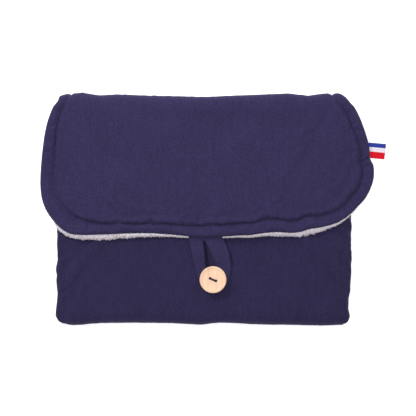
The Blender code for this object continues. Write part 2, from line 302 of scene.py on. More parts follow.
BEND_MIDDLE = SPINE_BEND - HALF_PANEL
BEND_CENTRE_Y = TOP_Y - SPINE_BEND
RISE = CLOSED_HEIGHT / 2 - SPINE_BEND
BEND_LENGTH = BEND_MIDDLE * pi / 2
FLAT_START = RISE + BEND_LENGTH
BACK_LENGTH = BEND_CENTRE_Y - FOLD_Y
FOLD_MIDDLE = FOLD_RADIUS - HALF_PANEL
FOLD_LENGTH = FOLD_MIDDLE * pi
FOLD_START = FLAT_START + BACK_LENGTH
FRONT_START = FOLD_START + FOLD_LENGTH
MOUTH_S = -(FRONT_START + MOUTH_Y - FOLD_Y)


def folded(s):
    """For each s: y and z of the middle of the padding, and y and z of the way outwards."""
    t = np.abs(s)
    flap = s > 0
    turn = ((t - RISE) / BEND_MIDDLE).clip(0, pi / 2)
    y = BEND_CENTRE_Y + BEND_MIDDLE * np.cos(turn) - (t - FLAT_START).clip(0, None)
    z = CLOSED_HEIGHT - SPINE_BEND + BEND_MIDDLE * np.sin(turn) - (RISE - t).clip(0, None)
    out_y = np.cos(turn)
    out_z = np.sin(turn)
    z = np.where(flap, z, CLOSED_HEIGHT - z)
    out_z = np.where(flap, out_z, -out_z)
    bend = ((t - FOLD_START) / FOLD_MIDDLE).clip(0, pi)
    below = ~flap & (t > FOLD_START)
    y = np.where(below, FOLD_Y - FOLD_MIDDLE * np.sin(bend) + (t - FRONT_START).clip(0, None), y)
    z = np.where(below, FOLD_RADIUS - FOLD_MIDDLE * np.cos(bend), z)
    out_y = np.where(below, -np.sin(bend), out_y)
    out_z = np.where(below, -np.cos(bend), out_z)
    return y, z, out_y, out_z


def smooth(x, start, end):
    """0 before start and 1 after end, eased between."""
    t = ((np.asarray(x, float) - start) / (end - start)).clip(0, 1)
    return t * t * (3 - 2 * t)


def bell(x, width):
    """1 where x is 0, falling to about 0.37 at the width and to nothing beyond."""
    return np.exp(-((x / width) ** 2))


def ripple(points, wave, seed):
    """Smooth noise from about -1 to 1 at each point, with features about a wave long."""
    return np.array([noise.noise(Vector((*(p / wave), seed))) for p in points])


def flap_outline():
    """The flap's edge on the flat cloth, from the spine on the left, round to the spine on the right."""
    ring = outline_rings("flap_outer_gauze", CLOSED_HEIGHT)[0]
    at_spine = np.abs(ring[:, 1] - TOP_Y) < 10 * NUDGE
    first = [i for i in range(len(ring)) if at_spine[i] and not at_spine[(i + 1) % len(ring)]][0]
    chain = np.roll(ring, -first, axis=0)
    flat = []
    for x, y in chain:
        if y > BEND_CENTRE_Y:
            s = RISE + BEND_MIDDLE * acos(min(1.0, (y - BEND_CENTRE_Y) / SPINE_BEND))
        else:
            s = FLAT_START + BEND_CENTRE_Y - y
        flat.append((x, s))
    return np.array([(flat[0][0], 0.0), *flat, (flat[-1][0], 0.0)])


def from_pairs(x, pairs):
    """The value at x from pairs in mm, in metres."""
    at, value = np.array(pairs).T * MM
    return np.interp(x, at, value)


def side_wave(y, side):
    """How far the sewn side edges wander, from the gathering of their seam."""
    puckers = noise.noise(Vector((y / (4.5 * MM), side * 7.3, 2.0)))
    return 0.6 * MM * puckers + float(from_pairs(y, RIGHT_WAVES if side > 0 else LEFT_WAVES))


def pouch_side(side, spine_x):
    """One edge of the back, fold and pocket on the flat cloth, from the spine to the pocket's mouth."""
    line = []
    for s in np.linspace(0.0, MOUTH_S, 220):
        y, _, out_y, _ = (float(v[0]) for v in folded(np.array([s])))
        edge_y = y + HALF_PANEL * out_y
        wide = spine_x + (side * HALF_WIDTH - spine_x) * float(smooth(-edge_y, -TOP_Y, -SHOULDER_Y))
        wide += side * side_wave(edge_y, side) * float(smooth(-edge_y, -SHOULDER_Y, -WAVY_BELOW_Y))
        past = min(1.0, max(0.0, (low("bottom_fold_gauze").y + FOLD_CORNER - edge_y) / FOLD_CORNER))
        wide -= side * FOLD_CORNER * (1 - (1 - past**2) ** 0.5) * FOLD_CORNER_SHARE
        left = (s - MOUTH_S) / MOUTH_CORNER
        if left < 1:
            wide -= side * MOUTH_CORNER * (1 - (1 - (1 - left) ** 2) ** 0.5)
        line.append((wide, s))
    return np.array(line)


def whole_outline():
    """The edge of the whole flat cloth, anticlockwise, and where it crosses the spine at left and right."""
    flap = flap_outline()[::-1]
    if flap[0][0] < flap[-1][0]:
        flap = flap[::-1]
    flap = resample(flap, 0.5 * MM)
    away = flap[:, 1] - FLAT_START
    flap[:, 1] += from_pairs(flap[:, 0], EDGE_WAVES) * smooth(away, 100 * MM, 112 * MM)
    swell = from_pairs(BEND_CENTRE_Y - away, SIDE_WAVES) * smooth(-away, -98 * MM, -88 * MM)
    flap[:, 0] += np.where(flap[:, 0] < 0, 0.0, swell)
    flap[:, 0] += np.where(flap[:, 0] < 0, *SPINE_FLARE) * smooth(-away, 2 * MM, 9.5 * MM)
    right_x, left_x = flap[0][0], flap[-1][0]
    right = pouch_side(1, right_x)[::-1]
    left = pouch_side(-1, left_x)
    ring = np.vstack(
        [
            resample(right, RIM_SPACING),
            resample(flap, RIM_SPACING)[1:-1],
            resample(left, RIM_SPACING),
            resample([left[-1], right[0]], RIM_SPACING)[1:-1],
        ]
    )
    return ring, left_x, right_x


# ---------------------------------------------------------------- the padded cloth


def banded(s):
    """Where the cloth has a stitched band along its edge: the flap, the spine and the open back."""
    end = FLAT_START + BEND_CENTRE_Y - MOUTH_Y
    return smooth(s, -end, 14 * MM - end)


def stitch_inset(points):
    """How far the line of stitching lies from the edge: nearer to it at the spine than on the flap."""
    x, s = points.T[:2]
    y = BEND_CENTRE_Y + FLAT_START - np.abs(s)
    at_side = np.where(x < 0, from_pairs(y, LEFT_INSETS), from_pairs(y, RIGHT_INSETS))
    free = smooth(s, FLAT_START + 88 * MM, FLAT_START + 108 * MM)
    return at_side + (from_pairs(x, FREE_INSETS) - at_side) * free


def row_offset(row, points):
    """How far from the edge a row lies that is named by its distance where the inset is STITCH_INSET."""
    inset = stitch_inset(points)
    return np.where(row < STITCH_INSET, row * inset / STITCH_INSET, row + inset - STITCH_INSET)


def edge_run(points, ring):
    """How far along the edge the nearest point of the edge lies."""
    nearest = nearest_in(ring)
    step = np.linalg.norm(np.roll(ring, -1, axis=0) - ring, axis=1)
    run = np.concatenate([[0.0], np.cumsum(step)])
    return np.array([run[nearest(p)[1]] for p in points])


def near_line(x, y, start, end):
    """How far each point lies to the left of a line, seen from its start, and how far past its ends."""
    along = Vector(end) - Vector(start)
    length = along.length
    ux, uy = along / length
    dx = x - start[0]
    dy = y - start[1]
    run = dx * ux + dy * uy
    past_ends = np.maximum(np.maximum(-run, run - length), 0)
    return dy * ux - dx * uy, past_ends


def heights(points, d, run):
    """(outer, inner) heights of the two faces over the middle of the padding, before puffing."""
    s = points[:, 1]
    roll = np.sqrt(1 - (1 - (d / EDGE_ROLL).clip(0, 1)) ** 2)
    band = banded(s)
    inset = stitch_inset(points)
    past = d - inset
    across = (d / inset).clip(0, 1)
    groove = bell(past, np.where(past < 0, GROOVE_BAND_SIDE, GROOVE_MAIN_SIDE))
    inside = 1 - np.exp(-past.clip(0, None) / (14 * MM))
    lip = bell(past - 4 * MM, 3 * MM) * 0.5 * MM
    on_flap = smooth(s, RISE, FLAT_START + 5 * MM)
    skew = np.column_stack([run + 0.5 * d, d])
    pucker = ripple(skew, np.array([5.2 * MM, 30 * MM]), 31.0)
    creased = ripple(skew, np.array([9 * MM, 24 * MM]), 57.0)
    in_places = smooth(ripple(skew, np.array([23 * MM, 40 * MM]), 77.0), -0.1, 0.3)
    crease = bell(creased, 0.07) * in_places
    near_stitch = np.exp(-np.abs(past) / (5.5 * MM)) * (1 - 0.7 * groove) * roll * band
    shallow = 0.4 + 0.6 * smooth(np.abs(s), RISE, FLAT_START + 2 * MM)
    channel = BAND_CROWN * np.sin(pi * across) - GROOVE_DEPTH * groove * shallow + lip
    outer = HALF_PANEL * roll + band * channel
    outer += CENTRE_CROWN * inside * on_flap + (0.7 * MM * pucker - 0.7 * MM * crease) * near_stitch
    at_seam = smooth(-d, -16 * MM, -5 * MM) * roll * (1 - band)
    outer += 0.7 * MM * at_seam * ripple(points, np.array([16 * MM, 5 * MM]), 12.0)
    inner = HALF_PANEL * roll - band * 0.35 * GROOVE_DEPTH * groove
    return outer, inner


def flat_cloth():
    """Both faces of the whole flat cloth as one closed mesh, with what is known of each point."""
    ring, left_x, right_x = whole_outline()
    offsets = (*ROLL_ROWS, *STITCH_ROWS)
    spine_ends = np.array([(left_x, 0.0), (right_x, 0.0)])
    from_left, from_right = np.array([row_offset(r, spine_ends) for r in STITCH_ROWS]).T
    cut = [left_x, *(left_x + r for r in sorted([*ROLL_ROWS[:2], *from_left]))]
    cut += [*np.arange(cut[-1] + SPACING, right_x - from_right[-1] - SPACING / 2, SPACING)]
    cut += [*(right_x - r for r in sorted([*ROLL_ROWS[:2], *from_right], reverse=True)), right_x]
    rows = []
    for offset in offsets:
        if offset in STITCH_ROWS:
            moved = inset_points(ring, row_offset(offset, ring))
            moved = moved[banded(moved[:, 1]) > 0.5]
        else:
            moved = inset_points(ring, offset)
        moved = moved[np.abs(moved[:, 1]) > 1.2 * MM]
        if rows:
            moved = far_from(moved, np.vstack(rows), 0.35 * MM)
        rows.append(moved)
    rows.append(far_from(fine_patch(), np.vstack(rows), 0.4 * MM))
    points, faces = triangulated([ring], np.array([(x, 0.0) for x in cut]), np.vstack(rows), SPACING)
    return ring, points, faces


def fine_patch():
    """Closer points where the pocket is dented below the loop, and on the flap's band below the tab."""
    patches = []
    on_pocket = (-8 * MM, 30 * MM, 1.1 * MM), (-64 * MM, -22 * MM, 1.3 * MM), FOLD_Y - FRONT_START
    on_band = (145 * MM, 154 * MM, 0.9 * MM), (36 * MM, 53 * MM, 0.9 * MM), BEND_CENTRE_Y + FLAT_START
    for across, up, y_at_zero in (on_pocket, on_band):
        x, y = (v.ravel() for v in np.meshgrid(np.arange(*across), np.arange(*up)))
        patches.append(np.column_stack([x, y_at_zero - y]))
    return np.vstack(patches)


def closed_mesh(points, faces, d, outer, inner):
    """A closed mesh of an upper and a lower face that share their rim, as (places, faces, which are rim)."""
    rim = d < RIM
    lower = np.full(len(points), -1)
    lower[~rim] = len(points) + np.arange((~rim).sum())
    lower[rim] = np.nonzero(rim)[0]
    top = np.column_stack([points, np.where(rim, 0.0, outer)])
    bottom = np.column_stack([points[~rim], -inner[~rim]])
    return np.vstack([top, bottom]), np.vstack([faces, lower[faces][:, ::-1]]), rim


def add_object(name, data):
    obj = bpy.data.objects.new(name, data)
    bpy.context.scene.collection.objects.link(obj)
    return obj


def smooth_mesh(name, places, faces):
    """A new smooth-shaded mesh object."""
    mesh = bpy.data.meshes.new(name)
    mesh.from_pydata([tuple(p) for p in places], [], faces)
    mesh.update()
    mesh.polygons.foreach_set("use_smooth", [True] * len(mesh.polygons))
    return add_object(name, mesh)


def used_mesh(name, places, faces):
    """A new object from only those places that the faces use, and their numbers."""
    used = np.unique(faces)
    renumber = np.zeros(len(places), int)
    renumber[used] = np.arange(len(used))
    return smooth_mesh(name, places[used].tolist(), renumber[faces].tolist()), used


def apply_modifiers(obj):
    mesh = bpy.data.meshes.new_from_object(obj.evaluated_get(bpy.context.evaluated_depsgraph_get()))
    obj.modifiers.clear()
    obj.data = mesh
    return mesh


def remember_place(obj, places):
    """Stores where each point lies on the flat cloth, which the weave and the pocket's painted shade follow.
    """
    attribute = obj.data.attributes.new("cloth_place", "FLOAT_VECTOR", "POINT")
    attribute.data.foreach_set("vector", np.asarray(places, np.float32).ravel())


PUFF_FRAMES = 16
PUFF_CAP = 2.2 * MM


def most_move(places, depth):
    """How far the simulation may move each point: less at the folds and along the edge."""
    t = np.abs(places[:, 1])
    spine = 1 - smooth(t, FLAT_START, FLAT_START + 25 * MM)
    bottom = bell(t - (FOLD_START + FRONT_START) / 2, 16 * MM)
    edge = 1 - smooth(depth, 1 * MM, 8 * MM)
    keep = (1 - 0.85 * spine) * (1 - 0.85 * bottom) * (1 - 0.7 * edge)
    return PUFF_CAP * keep * (1 - 0.35 * smooth(depth, 18 * MM, 40 * MM))


def puffed(places, faces, pinned, most):
    """The places of a closed flat cloth after a cloth simulation under pressure, each move capped."""
    obj, used = used_mesh("puffing", places, faces)
    group = obj.vertex_groups.new(name="stitched")
    group.add([int(i) for i in np.nonzero(pinned[used])[0]], 1.0, "REPLACE")
    cloth = obj.modifiers.new("puff", "CLOTH")
    settings = cloth.settings
    settings.quality = 5
    settings.mass = 0.15
    settings.tension_stiffness = 15
    settings.compression_stiffness = 15
    settings.shear_stiffness = 8
    settings.bending_stiffness = 0.6
    settings.use_pressure = True
    settings.uniform_pressure_force = 3.0
    settings.vertex_group_mass = "stitched"
    settings.shrink_min = -0.04
    settings.effector_weights.gravity = 0.0
    cloth.collision_settings.use_collision = False
    cloth.point_cache.frame_start = 1
    cloth.point_cache.frame_end = PUFF_FRAMES
    scene = bpy.context.scene
    for number in range(1, PUFF_FRAMES + 1):
        scene.frame_set(number)
    evaluated = obj.evaluated_get(bpy.context.evaluated_depsgraph_get())
    after = np.empty(len(used) * 3, np.float32)
    evaluated.data.vertices.foreach_get("co", after)
    scene.frame_set(1)
    found = places.copy()
    move = after.reshape(-1, 3).astype(float) - places[used]
    size = np.linalg.norm(move, axis=1)[:, None] + NUDGE
    cap = most[used, None]
    found[used] += move / size * cap * np.tanh(size / cap)
    bpy.data.objects.remove(obj, do_unlink=True)
    return found


CREASE = ((145.6 * MM, 42.2 * MM), (158.0 * MM, 49.6 * MM))


def crease_below_tab(x, y):
    """How far the flap's band stands out, or in where negative, at the crease below the ribbon."""
    above, past = near_line(x, y, *CREASE)
    fold = bell(above, 0.9 * MM)
    swell = bell(above + 3 * MM, 2.4 * MM)
    return (0.7 * swell - 2.2 * fold) * MM * bell(past, 1.5 * MM)


def dents(x, y):
    """How deep the pocket is dented below the loop, in its slot and past its right leg."""
    beside, past = near_line(x, y, (-2.2 * MM, -31 * MM), (2.2 * MM, -60 * MM))
    slot = 4.2 * MM * bell(beside, np.where(beside < 0, 2.2 * MM, 3.4 * MM)) * bell(past, 2.5 * MM)
    outside, past = near_line(x, y, (17.6 * MM, -29 * MM), (25 * MM, -52 * MM))
    return slot + 1.6 * MM * bell(outside, np.where(outside < 0, 2 * MM, 1.7 * MM)) * bell(past, 4 * MM)


def near_button(x, y):
    """1 at the button and the loop, where the closure presses the pocket flat, and 0 far from them."""
    off = np.hypot((x - BUTTON_X) / 1.1, (y - BUTTON_Y - 8 * MM) / 1.4)
    return 1 - smooth(off, 20 * MM, 42 * MM)


def fold_up(places):
    """Folds the puffed flat cloth over the frame."""
    x, s, h = places.T
    y, z, out_y, out_z = folded(s)
    on_front = s < -FRONT_START
    on_back = (s < 0) & ~on_front
    pressed = near_button(x, y) * on_front
    proud = (h - HALF_PANEL).clip(0, None)
    h = h - proud * pressed - dents(x, y) * on_front * (h > 0)
    h = h + crease_below_tab(x, y) * (s > FLAT_START) * (h / HALF_PANEL).clip(0, 1)
    new_y = y + out_y * h
    new_z = z + out_z * h
    sewn = smooth(np.abs(x), HALF_WIDTH - 15 * MM, HALF_WIDTH - 2 * MM)
    below_mouth = smooth(-y, -MOUTH_Y - 18 * MM, -MOUTH_Y)
    pinch = sewn * (s < 0) * np.where(on_back, below_mouth, 1.0)
    new_z -= 0.46 * POCKET_GAP * pinch * out_z
    beyond = smooth(np.abs(x), HALF_WIDTH - 25 * MM, HALF_WIDTH + 22 * MM) * (s > 0)
    new_z -= 4.5 * MM * beyond * smooth(-new_y, -90 * MM, -30 * MM)
    hollow = (1 - (x / (120 * MM)) ** 2).clip(0, 1) * bell(new_y - 50 * MM, 38 * MM)
    new_z -= 1.6 * MM * hollow * smooth(s, 10 * MM, 40 * MM)
    new_z = np.where(s < 0, np.maximum(new_z, 0.05 * MM), new_z)
    fine = ripple(np.column_stack([x, s]), np.array([4.5 * MM, 20 * MM]), 5.0)
    new_y -= (from_pairs(x, TOP_WAVES) - 0.35 * MM * fine) * smooth(new_y, 78 * MM, 104 * MM)
    new_y -= (from_pairs(x, BOTTOM_WAVES) - 0.2 * MM * fine) * smooth(-new_y, 85 * MM, 103 * MM)
    return np.column_stack([x, new_y, new_z])


ring, cloth_points, cloth_faces = flat_cloth()
edge_d = edge_distance(cloth_points, ring)
edge_d[edge_d < RIM] = 0.0
outer_h, inner_h = heights(cloth_points, edge_d, edge_run(cloth_points, ring))
shape, shape_faces, on_rim = closed_mesh(cloth_points, cloth_faces, edge_d, outer_h, inner_h)
depth = np.concatenate([edge_d, edge_d[~on_rim]])
band_here = banded(shape[:, 1])
stitched = (np.abs(depth - stitch_inset(shape)) < 0.3 * MM) & (band_here > 0.5)
shape = puffed(shape, shape_faces, stitched | (depth < RIM), most_move(shape, depth))
folded_shape = fold_up(shape)
flat_places = np.vstack([cloth_points, cloth_points[~on_rim]])
flat_places = np.column_stack([flat_places, np.zeros(len(flat_places))])

upper_faces = shape_faces[: len(cloth_faces)]
lower_faces = shape_faces[len(cloth_faces) :]
turned = (depth[lower_faces] <= TURN_UNDER + RIM).all(1)
gauze_faces = np.vstack([upper_faces, lower_faces[turned]])
terry_faces = lower_faces[~turned]


def cloth_piece(name, faces, flap_side):
    """One object from the faces on one side of the middle of the spine."""
    middle = flat_places[faces][:, :, 1].mean(1)
    mine = faces[(middle > 0) == flap_side]
    obj, used = used_mesh(name, folded_shape, mine)
    remember_place(obj, flat_places[used])
    return obj


flap_cover = cloth_piece("flap_cover", gauze_faces, True)
flap_lining = cloth_piece("flap_lining", terry_faces, True)
pouch_cover = cloth_piece("pouch_cover", gauze_faces, False)
pouch_lining = cloth_piece("pouch_lining", terry_faces, False)


# ---------------------------------------------------------------- small pieces


def wall(first, rings, steps):
    """The four-sided faces between rings of points that follow each other."""
    faces = []
    for ring_number in range(rings - 1):
        for step in range(steps):
            a = first + ring_number * steps + step
            b = first + ring_number * steps + (step + 1) % steps
            faces.append((a, b, b + steps, a + steps))
    return faces


def tubes(name, paths, radii, sides=6):
    """One object of many round-ended tubes, each along its own path and with its own radius at each point."""
    places = []
    faces = []
    for path, radius in zip(paths, radii):
        path = np.asarray(path, float)
        along = np.gradient(path, axis=0)
        along /= np.linalg.norm(along, axis=1)[:, None] + NUDGE**2
        across = np.cross(along, (0.03, 0.02, 1.0))
        across /= np.linalg.norm(across, axis=1)[:, None] + NUDGE**2
        upwards = np.cross(across, along)
        first = len(places)
        for k in range(len(path)):
            for turn in range(sides):
                angle = 2 * pi * turn / sides
                places.append(path[k] + radius[k] * (cos(angle) * across[k] + sin(angle) * upwards[k]))
        faces += wall(first, len(path), sides)
        last = first + (len(path) - 1) * sides
        faces.append(tuple(range(first + sides - 1, first - 1, -1)))
        faces.append(tuple(range(last, last + sides)))
    return smooth_mesh(name, places, faces)


def rounded(count, thickness, ends=0.35):
    """Radii along a tube that swell from a narrow end to the full thickness and back."""
    t = np.linspace(-1, 1, count)
    return thickness * (ends + (1 - ends) * np.sqrt((1 - t**4).clip(0, 1)))


# Stitches along the band.
STITCH_PITCH = 3.1 * MM
STITCH_LENGTH = 2.3 * MM
STITCH_RADIUS = 0.28 * MM
LINE_STEP = 0.25 * MM
fine_ring = resample(ring, 1 * MM, closed=True)
stitch_line = inset_points(fine_ring, stitch_inset(fine_ring))
stitch_line = stitch_line[banded(stitch_line[:, 1]) > 0.6]
widest_gap = np.argmax(np.linalg.norm(np.diff(stitch_line, axis=0), axis=1))
if np.linalg.norm(stitch_line[widest_gap + 1] - stitch_line[widest_gap]) > 10 * MM:
    stitch_line = np.roll(stitch_line, -widest_gap - 1, axis=0)
stitch_line = resample(stitch_line, LINE_STEP)


def stitches(name, on_flap):
    """The stitches on one side of the middle of the spine, each an arched thread that dips at both ends."""
    run = np.arange(len(stitch_line)) * LINE_STEP
    paths = []
    for start in np.arange(1 * MM, run[-1] - STITCH_PITCH, STITCH_PITCH):
        at = start + np.linspace(0, STITCH_LENGTH, 7)
        flat = np.stack([np.interp(at, run, column) for column in stitch_line.T], axis=1)
        if (flat[3, 1] > 0) != on_flap:
            continue
        arch = np.sin(np.linspace(0, pi, 7))
        height = HALF_PANEL - GROOVE_DEPTH - 0.1 * MM + 0.5 * MM * arch
        paths.append(fold_up(np.column_stack([flat, height])))
    return tubes(name, paths, [rounded(7, STITCH_RADIUS)] * len(paths))


flap_stitches = stitches("flap_stitches", True)
pouch_stitches = stitches("pouch_stitches", False)

# The towelling that shows past the flap's free edge: how far it shows, from left to right.
TERRY_SHOWS = (
    (-142, 0.0), (-136, 2.7), (-130, 3.5), (-122, 4.0), (-115, 5.0), (-110, 4.3), (-100, 6.0),
    (-95, 5.2), (-90, 5.7), (-85, 5.3), (-80, 4.4), (-75, 5.0), (-65, 3.8), (-57, 4.1), (-48, 3.5),
    (-40, 3.0), (-30, 2.2), (-15, 1.8), (16, 1.6), (30, 2.0), (45, 2.8), (56, 3.1), (68, 4.3),
    (79, 3.4), (87, 4.8), (96, 5.6), (108, 4.7), (114, 3.1), (125, 2.3), (131, 1.6), (138, 0.8),
    (145, 0.0),
)
TUFT_STEP = 0.7 * MM
TUFT_RADIUS = 0.5 * MM
LOOP_GAP = (-15.5 * MM, 17 * MM)


def flap_edge_run():
    """The flap's free edge on the flat cloth, as (points, outward directions), evenly spaced."""
    along_edge = ring[ring[:, 1] > FLAT_START + 60 * MM]
    along_edge = along_edge[np.argsort(along_edge[:, 0])]
    line = resample(along_edge, TUFT_STEP)
    direction = np.gradient(line, axis=0)
    direction /= np.linalg.norm(direction, axis=1)[:, None]
    return line, np.stack([-direction[:, 1], direction[:, 0]], axis=1)


def terry_edge():
    """Loops of towelling that lie side by side under the flap's edge and stick out of it."""
    chance = np.random.default_rng(11)
    line, outwards = flap_edge_run()
    paths = []
    radii = []
    for layer in range(4):
        for point, out in zip(line, outwards):
            show = from_pairs(point[0], TERRY_SHOWS)
            if show < 0.2 * MM or LOOP_GAP[0] < point[0] < LOOP_GAP[1]:
                continue
            clump = noise.noise(Vector((point[0] / (2.6 * MM), layer * 5.1, 4.0)))
            reach = show * (0.93 + 0.18 * clump + 0.05 * chance.standard_normal())
            reach *= (0.72, 0.86, 1.0, 0.95)[layer]
            lean = 0.12 * chance.standard_normal() + 0.25 * clump + 0.12
            sideways = np.array([out[1], -out[0]])
            t = np.linspace(0, 1, 6)[:, None]
            flat = point + out * (reach + 3 * MM) * t - out * 3 * MM + sideways * lean * reach * t**2
            flat = flat + sideways * (chance.random() - 0.5) * TUFT_STEP
            top = -(0.75 + 0.6 * layer) * MM + 0.2 * MM * chance.standard_normal()
            swell = 0.35 * MM * np.sin(pi * t[:, 0].clip(0.3, 1))
            height = top + swell - (0.2 * MM + 0.14 * reach) * (t[:, 0] ** 3)
            paths.append(fold_up(np.column_stack([flat, height])))
            radii.append(rounded(6, TUFT_RADIUS * (0.8 + 0.4 * chance.random()), 0.55))
    return tubes("terry_edge", paths, radii, 5)


terry_fringe = terry_edge()


# ---------------------------------------------------------------- the loop

pocket_tree = BVHTree.FromObject(pouch_cover, bpy.context.evaluated_depsgraph_get())


def pocket_height(x, y):
    """The height of the pocket's outer face at a place."""
    hit = pocket_tree.ray_cast(Vector((x, y, 1.0)), Vector((0.0, 0.0, -1.0)))[0]
    return hit.z if hit else POCKET_TOP


LOOP_SPACING = 0.9 * MM
LOOP_ROLL = 1.3 * MM
LOOP_ROWS = (0.35 * MM, 0.8 * MM, 1.4 * MM)
LOOP_TUCK = 5 * MM
LOOP_CUT_FROM = 0.1


def loop_cloth():
    """The flat folded loop: two legs that lie on the pocket, with rolled edges and a soft crease."""
    rings = sorted(outline_rings("closure_loop", LOOP_HIGH), key=lambda r: -np.ptp(r[:, 1]))
    outer, slot = (resample(r, LOOP_SPACING, closed=True) for r in rings)
    outer = soften(outer, 3)
    slot = soften(slot, 3)
    root = smooth(outer[:, 1], LOOP_ROOT_Y - 1.5 * MM, LOOP_ROOT_Y - 0.2 * MM)
    outer[:, 1] += LOOP_TUCK * root
    rows = np.vstack([inset_points(outer, r) for r in LOOP_ROWS])
    around = np.vstack([inset_points(slot[::-1], -r) for r in LOOP_ROWS])
    rows = np.vstack([rows, around[edge_distance(around, outer) > 1 * MM]])
    points, faces = triangulated([outer, slot], [], rows, LOOP_SPACING)
    d = np.minimum(edge_distance(points, outer), edge_distance(points, slot))
    d[d < 0.02 * MM] = 0.0
    half = (LOOP_HIGH - LOOP_LOW) / 2 * 0.92
    roll = np.sqrt(1 - (1 - (d / LOOP_ROLL).clip(0, 1)) ** 2)
    soft = 0.12 * MM * ripple(points, np.array([3 * MM, 12 * MM]), 3.0)
    crown = half * roll * 0.9 + (0.25 * MM + soft) * (d / (4 * MM)).clip(0, 1)
    places, closed, _ = closed_mesh(points, faces, d, crown, half * roll * 0.85)
    x, y, h = places.T
    level = np.array([pocket_height(a, b) for a, b in zip(x, y)])
    level = np.maximum(level, POCKET_TOP - 0.4 * MM)
    under_button = 1 - smooth(np.hypot(x - BUTTON_X, y - BUTTON_Y), 12 * MM, 18 * MM)
    right = smooth(x, 4 * MM, 11 * MM)
    lift = (2.3 + 0.5 * right) * MM * bell(y + 41 * MM, 11 * MM)
    into_seam = smooth(y, LOOP_ROOT_Y - 5 * MM, LOOP_ROOT_Y + 1 * MM)
    z = level + 0.15 * MM + half + lift * (1 - under_button) + 0.9 * MM * into_seam
    z = z * (1 - under_button) + (LOOP_LOW + half) * under_button + h
    obj, used = used_mesh("closure_loop_cloth", np.column_stack([x, y, z]), closed)
    remember_place(obj, np.column_stack([x, y + LOOP_CUT_FROM, np.zeros(len(x))])[used])
    return obj


loop_cloth_piece = loop_cloth()


# ---------------------------------------------------------------- the button and its thread

BUTTON_RADIUS = (BUTTON_HIGH.x - BUTTON_LOW.x) / 2
BUTTON_THICKNESS = BUTTON_HIGH.z - BUTTON_LOW.z
DISH_DEPTH = 0.6 * MM
HOLE_SPACING = 5.9 * MM
HOLE_RADIUS = 1.2 * MM
HOLE_ANGLE = radians(-23.0)
HOLES = []
for off in (-HOLE_SPACING / 2, HOLE_SPACING / 2):
    HOLES.append(Vector((BUTTON_X + off * cos(HOLE_ANGLE), BUTTON_Y + off * sin(HOLE_ANGLE))))


def lathe(name, profile, centre, steps):
    """A closed solid turned from a profile of (radius, height) that starts and ends on the axis."""
    x, y, z = centre
    places = []
    for radius, height in profile[1:-1]:
        for step in range(steps):
            angle = 2 * pi * step / steps
            places.append((x + radius * cos(angle), y + radius * sin(angle), z + height))
    rows = len(profile) - 2
    faces = wall(0, rows, steps)
    places.append((x, y, z + profile[0][1]))
    places.append((x, y, z + profile[-1][1]))
    for step in range(steps):
        faces.append((len(places) - 2, (step + 1) % steps, step))
        last = (rows - 1) * steps
        faces.append((len(places) - 1, last + step, last + (step + 1) % steps))
    return smooth_mesh(name, places, faces)


def arc_points(centre, radius, start, end, count):
    """Points of an arc between two angles in degrees."""
    angles = np.radians(np.linspace(start, end, count))
    return [(centre[0] + radius * cos(a), centre[1] + radius * sin(a)) for a in angles]


def turned_button():
    """A turned two-hole button with a rounded rim and a shallow dish."""
    top = BUTTON_THICKNESS
    edge = 1.5 * MM
    lip = 1.1 * MM
    profile = [(0.0, 0.0), (BUTTON_RADIUS - 4 * MM, 0.0)]
    profile += arc_points((BUTTON_RADIUS - edge, edge), edge, -90, 0, 8)
    profile += arc_points((BUTTON_RADIUS - lip, top - lip), lip, 0, 115, 10)
    profile += [
        (BUTTON_RADIUS - 2.4 * MM, top - 0.45 * MM),
        (BUTTON_RADIUS - 3.2 * MM, top - 0.55 * MM),
        (BUTTON_RADIUS - 5 * MM, top - 0.58 * MM),
        (4 * MM, top - DISH_DEPTH),
        (0.0, top - DISH_DEPTH),
    ]
    obj = lathe("turned_button", profile, (BUTTON_X, BUTTON_Y, BUTTON_LOW.z), 96)
    dish = top - DISH_DEPTH
    flare = 0.35 * MM
    cutters = []
    for hole in HOLES:
        drill = [
            (0.0, -1 * MM),
            (HOLE_RADIUS + flare, -1 * MM),
            (HOLE_RADIUS + flare, 0.0),
            (HOLE_RADIUS, flare),
            (HOLE_RADIUS, dish - flare),
            (HOLE_RADIUS + 0.4 * flare, dish - 0.3 * flare),
            (HOLE_RADIUS + flare, dish),
            (HOLE_RADIUS + flare, top + 1 * MM),
            (0.0, top + 1 * MM),
        ]
        cutter = lathe("drill", drill, (*hole, BUTTON_LOW.z), 32)
        cut = obj.modifiers.new("hole", "BOOLEAN")
        cut.operation = "DIFFERENCE"
        cut.solver = "EXACT"
        cut.object = cutter
        cutters.append(cutter)
    mesh = apply_modifiers(obj)
    for cutter in cutters:
        bpy.data.objects.remove(cutter, do_unlink=True)
    mesh.polygons.foreach_set("use_smooth", [True] * len(mesh.polygons))
    mesh.set_sharp_from_angle(angle=radians(38))
    return obj


button_piece = turned_button()


